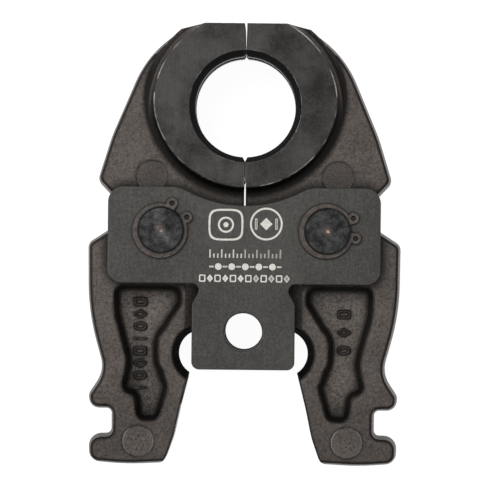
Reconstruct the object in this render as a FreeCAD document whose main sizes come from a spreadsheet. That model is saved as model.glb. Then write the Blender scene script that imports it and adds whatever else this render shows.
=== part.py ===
import FreeCAD, Part
import math
import os
import Sketcher

# Press jaw: two mirror-image forged levers swing on two pins between two T-shaped side plates.
# The jaw lies flat. Z runs along the pins, Y from the drive end to the press contour.
# The origin is the axis of the drive bore in the tongue, half-way between the plates.

SIZES = [
    # Side plates
    ("plate_thickness", 6.0),
    ("plate_half_gap", 10.5),
    ("plate_half_width", 52.4),
    ("plate_top", 55.65),
    ("plate_shoulder", 18.5),
    ("plate_top_corner", 6.0),
    ("plate_low_corner", 5.5),
    ("tongue_half_width", 19.8),
    ("tongue_end", 14.5),
    ("tongue_corner", 3.0),
    ("dip_corner_x", 25.0),
    ("dip_point_y", 42.4),
    ("dip_round", 47.0),
    ("dip_blend", 11.0),
    ("relief_corner_x", 15.4),
    ("relief_end", 10.9),
    ("relief_round", 2.6),
    ("relief_blend", 4.0),
    ("plate_edge_break", 0.35),
    ("drive_bore_radius", 7.25),
    ("drive_bore_bevel", 0.5),
    # Pivot pins and the rings that keep them
    ("pivot_x", 32.0),
    ("pivot_y", 39.0),
    ("pin_radius", 9.0),
    ("pin_plate_clearance", 0.03),
    ("pin_lever_clearance", 0.05),
    ("pin_end_land", 1.5),
    ("pin_end_chamfer", 0.7),
    ("pin_centre_radius", 0.9),
    ("pin_centre_depth", 0.5),
    ("groove_depth", 0.5),
    ("groove_width", 1.3),
    ("groove_play", 0.1),
    ("ring_thickness", 1.2),
    ("ring_clearance", 0.04),
    ("ring_back_width", 2.4),
    ("ring_end_width", 1.5),
    ("lug_radius", 2.1),
    ("lug_reach", 11.1),
    ("lug_hole_radius", 1.0),
    ("lug_half_angle", 20.5),
    ("ring_gap_half_angle", 10.0),
    ("left_ring_turn", 46.6),
    ("right_ring_turn", 6.8),
    # Forged lever
    ("web_half_thickness", 10.4),
    ("forge_draft", 6.5),
    ("web_edge_round", 1.0),
    ("split_stock", 3.0),
    ("cutter_overrun", 2.0),
    # Head with the press contour
    ("contour_y", 86.8),
    ("head_half_thickness", 16.5),
    ("head_radius", 35.6),
    ("head_lower_shift", 4.4),
    ("head_side_lean", 7.6),
    ("head_embed", 4.0),
    ("wall_lean", 0.7),
    ("cove_foot", 2.7),
    ("cove_round", 2.6),
    ("rim_draft", 0.4),
    ("head_edge_break", 0.35),
    ("crown_flat_end", 17.0),
    ("crown_fall", 8.7),
    ("land_radius", 19.4),
    ("mouth_radius", 21.6),
    ("land_outer", 9.0),
    ("land_inner", 3.4),
    ("bead_groove_radius", 21.2),
    ("bead_groove_lean", 0.9),
    # Faces where the two levers meet
    ("heel_gap", 0.05),
    ("heel_low", 57.9),
    ("heel_step", 0.5),
    ("slit_half_width", 0.4),
    ("slit_end", 30.0),
    ("tip_gap_inner", 0.12),
    ("tip_gap_outer", 0.5),
    ("contour_corner", 0.9),
    # Drive arm
    ("throat_y", 42.0),
    ("throat_end_x", 13.4),
    ("throat_end_y", 1.0),
    ("ramp_run_out_x", 44.0),
    ("ramp_run_out_y", -54.0),
    ("scallop_x", 16.1),
    ("scallop_y", 8.5),
    ("scallop_radius", 8.9),
    ("scallop_flare", 3.8),
    ("relief_slope_x", 22.4),
    ("relief_slope_foot", 12.0),
    ("relief_slope_drop", 4.2),
    ("relief_slope_top", 21.0),
    ("relief_slope_end", 1.0),
    ("pocket_depth", 4.4),
    ("pocket_draft", 23.0),
    ("pocket_floor_round", 1.4),
    # Ejector marks: a shallow dent above the plates and a low pad near the toe
    ("mark_radius", 6.0),
    ("mark_depth", 0.35),
    ("pad_height", 0.45),
    ("pad_draft", 35.0),
    ("high_mark_x", 36.0),
    ("high_mark_y", 59.8),
    ("low_mark_x", 40.2),
    ("low_mark_y", 42.5),
    # Closing spring
    ("spring_y", 25.0),
    ("spring_radius", 3.0),
    ("spring_wire", 0.45),
    ("spring_turns", 6.0),
    ("spring_seat_radius", 3.9),
    ("spring_seat_x", 14.0),
    ("spring_seat_gap", 0.3),
]

# Corners of the forged outline at the parting plane: name, x, y, rounding.
# The crown, shoulder and hip are measured from the press contour, the rest from the drive bore.
HEAD_CORNERS = [
    ("crown", 21.7, 31.9, 20.0),
    ("shoulder", 37.9, 21.9, 41.0),
    ("flank", 51.9, -11.2, 60.0),
    ("hip", 57.3, -28.7, 4.0),
]
ARM_CORNERS = [
    ("waist_high", 49.0, 49.3, 5.0),
    ("waist_low", 49.0, 41.5, 5.0),
    ("elbow", 60.75, 33.9, 3.5),
    ("forearm", 60.4, 6.8, 88.0),
    ("wrist", 54.05, -15.65, 11.0),
    ("horn_high", 60.0, -24.7, 3.5),
    ("horn_low", 59.5, -30.3, 4.0),
    ("notch_high", 51.0, -30.3, 2.0),
    ("notch_low", 51.0, -39.9, 2.0),
    ("toe_high", 59.9, -40.1, 5.0),
    ("toe_low", 59.6, -50.9, 4.5),
    ("sole", 45.0, -52.05, 100.0),
]

# The ramp that the drive roller runs along, machined after forging.
RAMP_CORNERS = [
    ("ramp_start", 20.0, -12.4, 0.0),
    ("ramp_mid", 24.3, -29.5, 60.0),
    ("ramp_low", 26.6, -40.6, 30.0),
    ("ramp_end", 30.3, -51.1, 5.5),
]

# Corners of the weight-saving pocket at the web's face.
POCKET_CORNERS = [
    ("pocket_top_inner", 24.3, 18.0, 4.5),
    ("pocket_top_outer", 50.2, 18.0, 4.0),
    ("pocket_outer_bend", 49.9, 6.5, 20.0),
    ("pocket_outer_waist", 44.9, -11.5, 12.0),
    ("pocket_knuckle", 47.2, -22.9, 3.4),
    ("pocket_outer_step", 41.9, -25.2, 2.5),
    ("pocket_toe_outer", 41.0, -34.6, 3.6),
    ("pocket_toe_inner", 32.5, -34.6, 4.0),
    ("pocket_inner_knee", 28.6, -20.6, 3.4),
    ("pocket_inner_low", 36.0, -13.2, 6.0),
    ("pocket_inner_waist", 36.4, -2.0, 9.0),
    ("pocket_inner_bend", 23.7, 10.2, 4.0),
]

# Most of an outline's side that the roundings at its two ends may take up.
SIDE_SHARE = 0.99

# Two lengths this close are the same, and a cut smaller than this volume removed nothing.
EXACT = 1e-4
LEAST_CUT = 0.01

V = FreeCAD.Vector
size = dict(SIZES)
for group in (HEAD_CORNERS, ARM_CORNERS, RAMP_CORNERS, POCKET_CORNERS):
    for name, x, y, rounding in group:
        size[name + "_x"] = x
        size[name + "_y"] = y
        if rounding > 0:
            size[name + "_round"] = rounding

doc = FreeCAD.newDocument("press_jaw")
sheet = doc.addObject("Spreadsheet::Sheet", "Sizes")
for row, (alias, number) in enumerate(size.items(), start=1):
    sheet.set("A%d" % row, alias.replace("_", " "))
    sheet.set("B%d" % row, str(number))
    sheet.setAlias("B%d" % row, alias)
doc.recompute()


def named(*terms):
    """Expression that adds up sheet values; a term with a leading minus is taken away."""
    parts = []
    for term in terms:
        sign = "-" if term.startswith("-") else "+"
        parts.append("%s Sizes.%s" % (sign, term.lstrip("-")))
    return " ".join(parts).lstrip("+ ")


def total(*terms):
    """Number that the same terms add up to."""
    result = 0.0
    for term in terms:
        sign = -1.0 if term.startswith("-") else 1.0
        result += sign * size[term.lstrip("-")]
    return result


def origin_plane(body, role):
    for feature in body.Origin.OriginFeatures:
        if feature.Role == role:
            return feature


def new_body(label):
    body = doc.addObject("PartDesign::Body", label)
    body.Label = label
    return body


def new_sketch(body, name, role="XY_Plane", lift=None):
    sketch = body.newObject("Sketcher::SketchObject", name)
    sketch.AttachmentSupport = [(origin_plane(body, role), "")]
    sketch.MapMode = "FlatFace"
    if lift:
        sketch.setExpression("AttachmentOffset.Base.z", lift)
    return sketch


def bind(sketch, kind, *arguments, to):
    """Add a dimension to a sketch and tie it to the sheet."""
    index = sketch.addConstraint(Sketcher.Constraint(kind, *arguments))
    sketch.setExpression("Constraints[%d]" % index, to)
    return index


def add_circle(sketch, x_terms, y_terms, radius_terms):
    centre = V(total(*x_terms) if x_terms else 0.0, total(*y_terms) if y_terms else 0.0, 0)
    edge = sketch.addGeometry(Part.Circle(centre, V(0, 0, 1), total(*radius_terms)), False)
    bind(sketch, "Radius", edge, total(*radius_terms), to=named(*radius_terms))
    if x_terms:
        bind(sketch, "DistanceX", -1, 1, edge, 3, centre.x, to=named(*x_terms))
    else:
        sketch.addConstraint(Sketcher.Constraint("PointOnObject", edge, 3, -2))
    if y_terms:
        bind(sketch, "DistanceY", -1, 1, edge, 3, centre.y, to=named(*y_terms))
    else:
        sketch.addConstraint(Sketcher.Constraint("PointOnObject", edge, 3, -1))
    return edge


def corner(name, y_base=()):
    """Corner of an outline from its named values: x terms, y terms, rounding terms."""
    rounding = (name + "_round",) if name + "_round" in size else ()
    return ((name + "_x",), tuple(y_base) + (name + "_y",), rounding)


def rounded_outline(sketch, corners):
    """Closed outline through corners, each rounded by an arc tangent to both its sides."""
    points = [V(total(*x), total(*y), 0) for x, y, rounding in corners]
    count = len(corners)
    directions = []
    for i, point in enumerate(points):
        back = (points[i - 1] - point).normalize()
        ahead = (points[(i + 1) % count] - point).normalize()
        directions.append((back, ahead, back.getAngle(ahead) / 2.0))
    roundings = [total(*row[2]) for row in corners]
    reaches = [rounding / math.tan(row[2]) for rounding, row in zip(roundings, directions)]
    limits = [1.0] * count
    for i in range(count):
        following = (i + 1) % count
        room = SIDE_SHARE * (points[following] - points[i]).Length
        wanted = reaches[i] + reaches[following]
        if wanted > room:
            limits[i] = min(limits[i], room / wanted)
            limits[following] = min(limits[following], room / wanted)

    entries, exits, arcs, bounds = [], [], [], []
    for point, (back, ahead, half), rounding, limit in zip(points, directions, roundings, limits):
        rounding *= limit
        reach = rounding / math.tan(half)
        entries.append(point + back * reach)
        exits.append(point + ahead * reach)
        middle = point + (back + ahead).normalize() * (rounding / math.sin(half) - rounding)
        arcs.append(Part.Arc(entries[-1], middle, exits[-1]) if rounding > 0 else None)
        bounds.append(rounding)

    sides, bends = [], []
    for i in range(count):
        side = Part.LineSegment(exits[i], entries[(i + 1) % count])
        sides.append(sketch.addGeometry(side, False))
    for arc in arcs:
        bends.append(sketch.addGeometry(arc, False) if arc else None)

    for i, (x_terms, y_terms, rounding) in enumerate(corners):
        before, after = sides[i - 1], sides[i]
        if bends[i] is None:
            sketch.addConstraint(Sketcher.Constraint("Coincident", before, 2, after, 1))
            anchor, place = after, 1
        else:
            start = sketch.getPoint(bends[i], 1)
            first, last = (1, 2) if start.isEqual(entries[i], EXACT) else (2, 1)
            sketch.addConstraint(Sketcher.Constraint("Tangent", before, 2, bends[i], first))
            sketch.addConstraint(Sketcher.Constraint("Tangent", after, 1, bends[i], last))
            rule = named(*rounding) if limits[i] == 1.0 else "%.6f" % bounds[i]
            bind(sketch, "Radius", bends[i], bounds[i], to=rule)
            anchor, place = sketch.addGeometry(Part.Point(points[i]), True), 1
            sketch.addConstraint(Sketcher.Constraint("PointOnObject", anchor, 1, before))
            sketch.addConstraint(Sketcher.Constraint("PointOnObject", anchor, 1, after))
        if x_terms:
            bind(sketch, "DistanceX", -1, 1, anchor, place, points[i].x, to=named(*x_terms))
        else:
            sketch.addConstraint(Sketcher.Constraint("PointOnObject", anchor, place, -2))
        if y_terms:
            bind(sketch, "DistanceY", -1, 1, anchor, place, points[i].y, to=named(*y_terms))
        else:
            sketch.addConstraint(Sketcher.Constraint("PointOnObject", anchor, place, -1))


def pad(body, sketch, name, length, taper=None, symmetric=True):
    feature = body.newObject("PartDesign::Pad", name)
    feature.Profile = sketch
    feature.SideType = "Symmetric" if symmetric else "One side"
    feature.setExpression("Length", length)
    if taper:
        feature.setExpression("TaperAngle", taper)
    doc.recompute()
    return feature


def negative(terms):
    return tuple(term.lstrip("-") if term.startswith("-") else "-" + term for term in terms)


def cut(body, sketch, name, length=None, taper=None, symmetric=True, away=False):
    """Pocket; the volume before and after shows that it really cuts."""
    before = body.Tip.Shape.Volume
    feature = body.newObject("PartDesign::Pocket", name)
    feature.Profile = sketch
    feature.SideType = "Symmetric" if symmetric else "One side"
    feature.Reversed = away
    if length:
        feature.setExpression("Length", length)
    else:
        feature.Type = "ThroughAll"
    if taper:
        feature.setExpression("TaperAngle", taper)
    doc.recompute()
    if not feature.Shape.Volume < before - LEAST_CUT:
        raise RuntimeError("%s cuts nothing" % name)
    return feature


def turn(body, sketch, name):
    """Groove turned about the sketch's own vertical axis."""
    before = body.Tip.Shape.Volume
    feature = body.newObject("PartDesign::Groove", name)
    feature.Profile = sketch
    feature.ReferenceAxis = (sketch, ["V_Axis"])
    feature.Angle = 360
    doc.recompute()
    if not feature.Shape.Volume < before - LEAST_CUT:
        raise RuntimeError("%s cuts nothing" % name)
    return feature


def flat_edges(feature, level, wanted=None):
    """Names of the edges that lie in the plane at this level, and that the test lets through."""
    names = []
    for number, edge in enumerate(feature.Shape.Edges, start=1):
        box = edge.BoundBox
        if box.ZLength > EXACT or abs(box.ZMin - level) > EXACT:
            continue
        if wanted is None or wanted(edge):
            names.append("Edge%d" % number)
    return names


def mirror_to_rear(body, features, name):
    """Repeat features on the rear face, because the forging is alike on both."""
    mirrored = body.newObject("PartDesign::Mirrored", name)
    mirrored.Originals = features
    mirrored.MirrorPlane = (origin_plane(body, "XY_Plane"), [""])
    body.Tip = mirrored
    doc.recompute()
    return mirrored


def forged_blank(body):
    """Drafted forging of web and arm, with stock left where it is machined later."""
    sketch = new_sketch(body, body.Label + "_blank")
    outline = [(("-split_stock",), ("contour_y", "crown_y"), ())]
    outline += [corner(row[0], ("contour_y",)) for row in HEAD_CORNERS]
    outline += [corner(row[0]) for row in ARM_CORNERS]
    outline += [
        (("ramp_end_x", "-split_stock"), ("ramp_end_y",), ()),
        (("ramp_start_x", "-split_stock"), ("ramp_start_y",), ()),
        (("throat_end_x",), ("throat_end_y",), ()),
        (("-split_stock",), ("throat_y",), ()),
    ]
    rounded_outline(sketch, outline)
    blank = pad(body, sketch, body.Label + "_web", "2 * Sizes.web_half_thickness", "-Sizes.forge_draft")
    face_level = size["web_half_thickness"]
    rims = flat_edges(blank, face_level) + flat_edges(blank, -face_level)
    rounding = body.newObject("PartDesign::Fillet", body.Label + "_web_edges")
    rounding.Base = (blank, rims)
    rounding.setExpression("Radius", "Sizes.web_edge_round")
    doc.recompute()


def head_outline(sketch):
    """Three tangent arcs round the head, centred on the contour and a little above it."""
    lean = size["head_side_lean"]
    side_x = math.sqrt(lean ** 2 - (size["head_lower_shift"] / 2.0) ** 2)
    top = V(0, size["contour_y"], 0)
    low = top + V(0, size["head_lower_shift"], 0)
    side = V(side_x, size["contour_y"] + size["head_lower_shift"] / 2.0, 0)
    upper_joint = top + (side - top).normalize() * size["head_radius"]
    lower_joint = low + (side - low).normalize() * size["head_radius"]

    def arc(centre, start, end):
        circle = Part.Circle(centre, V(0, 0, 1), (start - centre).Length)
        return Part.ArcOfCircle(circle, circle.parameter(start), circle.parameter(end))

    bottom = low - V(0, size["head_radius"], 0)
    crest = top + V(0, size["head_radius"], 0)
    lower = sketch.addGeometry(arc(low, bottom, lower_joint), False)
    middle = sketch.addGeometry(arc(side, lower_joint, upper_joint), False)
    upper = sketch.addGeometry(arc(top, upper_joint, crest), False)
    for first, second in ((lower, middle), (middle, upper)):
        sketch.addConstraint(Sketcher.Constraint("Tangent", first, 2, second, 1))
    for edge, point in ((lower, 3), (lower, 1), (upper, 3), (upper, 2)):
        sketch.addConstraint(Sketcher.Constraint("PointOnObject", edge, point, -2))
    side_radius = ("head_radius", "-head_side_lean")
    bind(sketch, "Radius", lower, size["head_radius"], to="Sizes.head_radius")
    bind(sketch, "Radius", middle, total(*side_radius), to=named(*side_radius))
    bind(sketch, "Radius", upper, size["head_radius"], to="Sizes.head_radius")
    bind(sketch, "DistanceY", -1, 1, upper, 3, top.y, to="Sizes.contour_y")
    bind(sketch, "DistanceY", -1, 1, lower, 3, low.y, to=named("contour_y", "head_lower_shift"))
    return lower, upper, bottom, crest


def head_boss(body):
    """Thick round head: a straight core, then its leaning wall and cove swept round it."""
    core = new_sketch(body, body.Label + "_head_face")
    lower, upper, bottom, crest = head_outline(core)
    closing = core.addGeometry(Part.LineSegment(crest, bottom), False)
    core.addConstraint(Sketcher.Constraint("Coincident", closing, 1, upper, 2))
    core.addConstraint(Sketcher.Constraint("Coincident", closing, 2, lower, 1))
    pad(body, core, body.Label + "_head_core", "2 * Sizes.head_half_thickness")

    path = new_sketch(body, body.Label + "_head_path")
    head_outline(path)
    wall = new_sketch(body, body.Label + "_head_wall", "YZ_Plane")
    edge = ("contour_y", "head_lower_shift", "-head_radius")
    foot = edge + ("-wall_lean", "-cove_foot")
    rounded_outline(wall, [
        (edge + ("head_embed",), ("head_half_thickness",), ()),
        (edge, ("head_half_thickness",), ()),
        (edge + ("-wall_lean",), ("web_half_thickness",), ("cove_round",)),
        (foot, ("web_half_thickness",), ()),
        (foot + ("-rim_draft",), (), ()),
        (foot, ("-web_half_thickness",), ()),
        (edge + ("-wall_lean",), ("-web_half_thickness",), ("cove_round",)),
        (edge, ("-head_half_thickness",), ()),
        (edge + ("head_embed",), ("-head_half_thickness",), ()),
    ])
    sweep = body.newObject("PartDesign::AdditivePipe", body.Label + "_head_rim")
    sweep.Profile = wall
    sweep.Spine = (path, [])
    doc.recompute()

    crown = new_sketch(body, body.Label + "_crown_line")
    top = ("contour_y", "crown_y")
    rounded_outline(crown, [
        (("-split_stock", "-cutter_overrun"), top, ()),
        (("crown_flat_end",), top, ()),
        (("plate_half_width",), top + ("-crown_fall",), ()),
        (("plate_half_width",), top + ("head_radius",), ()),
        (("-split_stock", "-cutter_overrun"), top + ("head_radius",), ()),
    ])
    trimmed = cut(body, crown, body.Label + "_crown_flat")
    face_level = size["head_half_thickness"]
    rims = flat_edges(trimmed, face_level, is_head_rim) + flat_edges(trimmed, -face_level, is_head_rim)
    rim_break = body.newObject("PartDesign::Chamfer", body.Label + "_head_edge_break")
    rim_break.Base = (trimmed, rims)
    rim_break.setExpression("Size", "Sizes.head_edge_break")
    doc.recompute()


def is_head_rim(edge):
    """Outer arcs of the head's face, and not the mouth of the press contour."""
    return isinstance(edge.Curve, Part.Circle) and edge.Curve.Radius > size["mouth_radius"] + EXACT


def press_contour(body):
    """Round opening turned in the closed jaw: cone, land and bead groove, alike from both faces."""
    sketch = new_sketch(body, body.Label + "_contour_section", "XZ_Plane", "-Sizes.contour_y")
    half = [
        (("mouth_radius",), ("head_half_thickness", "cutter_overrun")),
        (("mouth_radius",), ("head_half_thickness",)),
        (("land_radius",), ("land_outer",)),
        (("land_radius",), ("land_inner",)),
        (("bead_groove_radius",), ("land_inner", "-bead_groove_lean")),
    ]
    outline = [((), half[0][1], ())]
    outline += [(x, y, ()) for x, y in half]
    outline += [(x, negative(y), ()) for x, y in reversed(half)]
    outline += [((), negative(half[0][1]), ())]
    rounded_outline(sketch, outline)
    turn(body, sketch, body.Label + "_contour")


def split_faces(body):
    """Gap at the tips, heel that meets the other lever, and the slit between the webs."""
    sketch = new_sketch(body, body.Label + "_split_line")
    left = ("-split_stock", "-cutter_overrun")
    inner_top = ("contour_y", "land_radius")
    inner_low = ("contour_y", "-land_radius")
    rounded_outline(sketch, [
        (left, ("slit_end",), ()),
        (left, ("contour_y", "crown_y", "cutter_overrun"), ()),
        (("tip_gap_outer",), ("contour_y", "crown_y", "cutter_overrun"), ()),
        (("tip_gap_inner",), inner_top + ("contour_corner",), ()),
        (("contour_corner",), inner_top, ()),
        (("contour_corner",), inner_low, ()),
        (("heel_gap",), inner_low + ("-contour_corner", "-contour_corner"), ()),
        (("heel_gap",), ("heel_low",), ()),
        (("slit_half_width",), ("heel_low", "-heel_step"), ()),
        (("slit_half_width",), ("slit_end",), ()),
    ])
    cut(body, sketch, body.Label + "_split")


def drive_arm(body):
    """Roller ramp, clearance for the drive pin, and the slope that runs in under the tongue."""
    ramp = new_sketch(body, body.Label + "_ramp_line")
    outline = [corner(row[0]) for row in RAMP_CORNERS]
    outline += [
        (("ramp_run_out_x",), ("ramp_run_out_y",), ()),
        (("-split_stock",), ("ramp_run_out_y",), ()),
        (("-split_stock",), ("ramp_start_y",), ()),
    ]
    rounded_outline(ramp, outline)
    cut(body, ramp, body.Label + "_ramp")

    flare = new_sketch(body, body.Label + "_scallop_section", "XZ_Plane", "Sizes.scallop_y")
    flare.setExpression("AttachmentOffset.Base.x", "Sizes.scallop_x")
    wide = ("scallop_radius", "scallop_flare")
    rounded_outline(flare, [
        ((), ("head_half_thickness",), ()),
        (wide, ("head_half_thickness",), ()),
        (("scallop_radius",), (), ()),
        (wide, ("-head_half_thickness",), ()),
        ((), ("-head_half_thickness",), ()),
    ])
    turn(body, flare, body.Label + "_scallop")


def face_recesses(body):
    """Weight-saving pocket, ejector marks and inner slope, alike on both faces."""
    pocket = new_sketch(body, body.Label + "_pocket_line", lift="Sizes.web_half_thickness")
    rounded_outline(pocket, [corner(row[0]) for row in POCKET_CORNERS])
    hollow = cut(body, pocket, body.Label + "_pocket", "Sizes.pocket_depth",
                 "-Sizes.pocket_draft", symmetric=False)

    dent = new_sketch(body, body.Label + "_dent_rim", lift="Sizes.web_half_thickness")
    add_circle(dent, ("high_mark_x",), ("high_mark_y",), ("mark_radius",))
    dented = cut(body, dent, body.Label + "_dent", "Sizes.mark_depth", symmetric=False)
    disc = new_sketch(body, body.Label + "_pad_rim", lift="Sizes.web_half_thickness")
    add_circle(disc, ("low_mark_x",), ("-low_mark_y",), ("mark_radius",))
    raised = pad(body, disc, body.Label + "_pad", "Sizes.pad_height", "-Sizes.pad_draft", symmetric=False)

    slope = new_sketch(body, body.Label + "_slope_section", "XZ_Plane", "-Sizes.relief_slope_top")
    foot = ("web_half_thickness", "-relief_slope_drop")
    over = ("web_half_thickness", "cutter_overrun")
    rounded_outline(slope, [
        (("relief_slope_x",), ("web_half_thickness",), ()),
        (("relief_slope_x",), over, ()),
        (("-split_stock",), over, ()),
        (("-split_stock",), foot, ()),
        (("relief_slope_foot",), foot, ()),
    ])
    step = cut(body, slope, body.Label + "_inner_slope",
               "Sizes.relief_slope_top - Sizes.relief_slope_end", symmetric=False, away=True)
    mirror_to_rear(body, [hollow, dented, raised, step], body.Label + "_rear_features")

    floor_level = total("web_half_thickness", "-pocket_depth")
    base = body.Tip
    floor = flat_edges(base, floor_level) + flat_edges(base, -floor_level)
    rounding = body.newObject("PartDesign::Fillet", body.Label + "_pocket_floor_edges")
    rounding.Base = (base, floor)
    rounding.setExpression("Radius", "Sizes.pocket_floor_round")
    doc.recompute()


def bores(body):
    """Running bore for the pivot pin, and the blind seat of the closing spring."""
    pivot = new_sketch(body, body.Label + "_pivot_circle")
    add_circle(pivot, ("pivot_x",), ("pivot_y",), ("pin_radius", "pin_lever_clearance"))
    cut(body, pivot, body.Label + "_pivot_bore")
    seat = new_sketch(body, body.Label + "_spring_circle", "YZ_Plane")
    add_circle(seat, ("spring_y",), (), ("spring_seat_radius",))
    cut(body, seat, body.Label + "_spring_seat", "Sizes.spring_seat_x", symmetric=False, away=True)


def jaw_lever(label, turned_over):
    """One lever; the other is the same forging turned over about the Y axis."""
    body = new_body(label)
    forged_blank(body)
    head_boss(body)
    press_contour(body)
    split_faces(body)
    drive_arm(body)
    face_recesses(body)
    bores(body)
    if turned_over:
        body.Placement = FreeCAD.Placement(V(0, 0, 0), FreeCAD.Rotation(V(0, 1, 0), 180))
    return body


PLATE_TOP = ("plate_half_gap", "plate_thickness")


def is_drive_bore(edge):
    return edge.isClosed() and abs(edge.Curve.Center.y) < EXACT


def side_plate(label, turned_over):
    """T-shaped plate; the rear one is the same plate turned over."""
    body = new_body(label)
    outline = new_sketch(body, label + "_outline", lift="Sizes.plate_half_gap")
    right = [
        (("dip_corner_x",), ("plate_top",), ("dip_blend",)),
        (("plate_half_width",), ("plate_top",), ("plate_top_corner",)),
        (("plate_half_width",), ("plate_shoulder",), ("plate_low_corner",)),
        (("relief_corner_x",), ("plate_shoulder",), ("relief_round",)),
        (("tongue_half_width",), ("relief_end",), ("relief_blend",)),
        (("tongue_half_width",), ("-tongue_end",), ("tongue_corner",)),
    ]
    left = [(negative(x), y, rounding) for x, y, rounding in reversed(right)]
    rounded_outline(outline, [((), ("dip_point_y",), ("dip_round",))] + right + left)
    pad(body, outline, label + "_blank", "Sizes.plate_thickness", symmetric=False)

    holes = new_sketch(body, label + "_holes")
    add_circle(holes, (), (), ("drive_bore_radius",))
    for x_terms in (("pivot_x",), ("-pivot_x",)):
        add_circle(holes, x_terms, ("pivot_y",), ("pin_radius", "pin_plate_clearance"))
    drilled = cut(body, holes, label + "_bores")

    outer_level = total(*PLATE_TOP)
    rim = body.newObject("PartDesign::Chamfer", label + "_edge_break")
    rim.Base = (drilled, flat_edges(drilled, outer_level, lambda edge: not edge.isClosed()))
    rim.setExpression("Size", "Sizes.plate_edge_break")
    doc.recompute()
    bevel = body.newObject("PartDesign::Chamfer", label + "_bore_bevel")
    bevel.Base = (rim, flat_edges(rim, outer_level, is_drive_bore))
    bevel.setExpression("Size", "Sizes.drive_bore_bevel")
    doc.recompute()
    if turned_over:
        body.Placement = FreeCAD.Placement(V(0, 0, 0), FreeCAD.Rotation(V(0, 1, 0), 180))
    return body


def at_pivot(thing, side):
    """Place a piece on one of the two pivot axes."""
    thing.setExpression("Placement.Base.x", "%s * Sizes.pivot_x" % side)
    thing.setExpression("Placement.Base.y", "Sizes.pivot_y")


def pivot_pin(label, side):
    """Turned pin with a ring groove, a chamfer and a centre mark at both ends."""
    body = new_body(label)
    at_pivot(body, side)
    section = new_sketch(body, label + "_section", "XZ_Plane")
    groove_low = PLATE_TOP + ("groove_play",)
    groove_high = groove_low + ("groove_width",)
    end = groove_high + ("pin_end_land",)
    half = [
        (("pin_radius",), groove_low),
        (("pin_radius", "-groove_depth"), groove_low),
        (("pin_radius", "-groove_depth"), groove_high),
        (("pin_radius",), groove_high),
        (("pin_radius",), end + ("-pin_end_chamfer",)),
        (("pin_radius", "-pin_end_chamfer"), end),
        (("pin_centre_radius",), end),
        ((), end + ("-pin_centre_depth",)),
    ]
    outline = [(x, y, ()) for x, y in half]
    outline += [(x, negative(y), ()) for x, y in reversed(half)]
    rounded_outline(section, outline)
    shank = body.newObject("PartDesign::Revolution", label + "_turned")
    shank.Profile = section
    shank.ReferenceAxis = (section, ["V_Axis"])
    shank.Angle = 360
    doc.recompute()
    return body


def retaining_ring(label, side, turn_alias, front):
    """External ring with two lugs, narrowing from its back towards the lugs."""
    def disc(name, radius, x=None, turned=None, swept=None):
        cylinder = doc.addObject("Part::Cylinder", label + "_" + name)
        cylinder.setExpression("Radius", radius)
        cylinder.setExpression("Height", "Sizes.ring_thickness")
        if x:
            cylinder.setExpression("Placement.Base.x", x)
        if turned:
            cylinder.setExpression("Placement.Base.x", "Sizes.lug_reach * cos(%s * 1 deg)" % turned)
            cylinder.setExpression("Placement.Base.y", "Sizes.lug_reach * sin(%s * 1 deg)" % turned)
        if swept:
            cylinder.setExpression("Angle", "2 * " + swept)
            cylinder.setExpression("Placement.Rotation.Angle", "-" + swept)
        return cylinder

    bore = "Sizes.pin_radius - Sizes.groove_depth + Sizes.ring_clearance"
    hoop = disc("hoop", "%s + (Sizes.ring_back_width + Sizes.ring_end_width) / 2" % bore,
                x="(Sizes.ring_end_width - Sizes.ring_back_width) / 2")
    solids, holes = [hoop], [disc("bore", bore)]
    for name, angle in (("high", "Sizes.lug_half_angle"), ("low", "-Sizes.lug_half_angle")):
        solids.append(disc(name + "_lug", "Sizes.lug_radius", turned=angle))
        holes.append(disc(name + "_hole", "Sizes.lug_hole_radius", turned=angle))
    holes.append(disc("gap", "Sizes.lug_reach + Sizes.lug_radius", swept="Sizes.ring_gap_half_angle"))

    full = doc.addObject("Part::MultiFuse", label + "_full")
    full.Shapes = solids
    open_parts = doc.addObject("Part::MultiFuse", label + "_open_parts")
    open_parts.Shapes = holes
    ring = doc.addObject("Part::Cut", label)
    ring.Label = label
    ring.Base = full
    ring.Tool = open_parts
    ring.Placement = FreeCAD.Placement(V(0, 0, 0), FreeCAD.Rotation(V(0, 0, 1), size[turn_alias]))
    at_pivot(ring, side)
    level = named(*PLATE_TOP)
    middle = "(Sizes.groove_play + (Sizes.groove_width - Sizes.ring_thickness) / 2)"
    if front:
        ring.setExpression("Placement.Base.z", "%s + %s" % (level, middle))
    else:
        ring.setExpression("Placement.Base.z", "-(%s + %s + Sizes.ring_thickness)" % (level, middle))
    return ring


def closing_spring(label):
    """Compression coil between the arms that keeps the jaw shut, with ends in the blind seats."""
    body = new_body(label)
    section = new_sketch(body, label + "_wire")
    section.setExpression("AttachmentOffset.Base.y", "Sizes.spring_y")
    start = ("-spring_seat_x", "spring_seat_gap", "spring_wire")
    add_circle(section, start, ("spring_radius", "-spring_wire"), ("spring_wire",))
    coil = body.newObject("PartDesign::AdditiveHelix", label + "_coil")
    coil.Profile = section
    coil.ReferenceAxis = (section, ["H_Axis"])
    coil.Mode = "height-turns-angle"
    coil.setExpression("Height", "2 * (Sizes.spring_seat_x - Sizes.spring_seat_gap - Sizes.spring_wire)")
    coil.setExpression("Turns", "Sizes.spring_turns")
    doc.recompute()
    return body


pieces = [
    jaw_lever("left_jaw_lever", turned_over=True),
    jaw_lever("right_jaw_lever", turned_over=False),
    side_plate("front_side_plate", turned_over=False),
    side_plate("rear_side_plate", turned_over=True),
    closing_spring("closing_spring"),
]
for hand, side in (("left", "-1"), ("right", "1")):
    pieces.append(pivot_pin(hand + "_pivot_pin", side))
    for face in ("front", "rear"):
        name = "%s_%s_retaining_ring" % (hand, face)
        pieces.append(retaining_ring(name, side, hand + "_ring_turn", face == "front"))
doc.recompute()

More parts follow.
